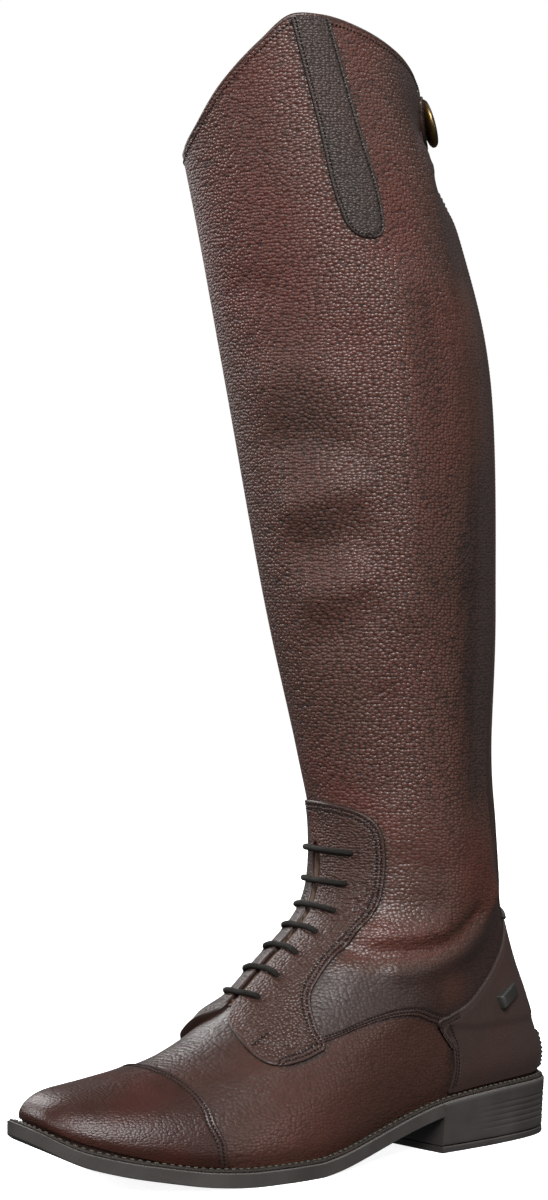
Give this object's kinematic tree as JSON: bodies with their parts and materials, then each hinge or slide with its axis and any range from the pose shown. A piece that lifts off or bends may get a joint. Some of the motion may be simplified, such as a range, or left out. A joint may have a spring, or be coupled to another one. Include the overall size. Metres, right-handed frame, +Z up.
{
  "type": "lace-up riding boot",
  "caption": "Tall lace-up riding boot for the left foot: leather shaft with a high outer collar, toe cap, elastic lacing over the instep, back zip, and a thin sole with a low heel.",
  "frame": {"origin": "centre of the heel's flat tread, on the floor", "axes": "-Y towards the toe, +X towards the outer side, +Z up the shaft"},
  "size_m": [0.1105, 0.2698, 0.4754],
  "materials": {
    "leather": "pebbled, semi-gloss",
    "cap_leather": "smooth, polished",
    "counter_leather": "smooth, semi-gloss",
    "tab_leather": "satin",
    "sole_rubber": "satin",
    "dark_rubber": "satin",
    "welt": "matte",
    "lining": "matte",
    "lace": "braided elastic",
    "zip": "satin",
    "bronze": "antiqued"
  },
  "bodies": {
    "root": {"outsole": "sole_rubber", "heel_lift": "sole_rubber", "welt": "welt", "insole": "lining", "upper": "leather", "tongue": "leather", "toe_cap": "cap_leather", "heel_counter": "counter_leather", "lace_facing": "leather", "lace_bar_1": "lace", "lace_bar_2": "lace", "lace_bar_3": "lace", "lace_bar_4": "lace", "lace_bar_5": "lace", "lace_bar_6": "lace", "lace_bar_7": "lace", "side_tab": "tab_leather", "back_zip": "zip", "zip_guard_lateral": "leather", "zip_guard_medial": "leather", "snap_tab": "leather", "snap_cap": "bronze", "spur_rest_lateral": "dark_rubber", "spur_rest_medial": "dark_rubber", "heel_grip": "dark_rubber"}
  },
  "joints": []
}
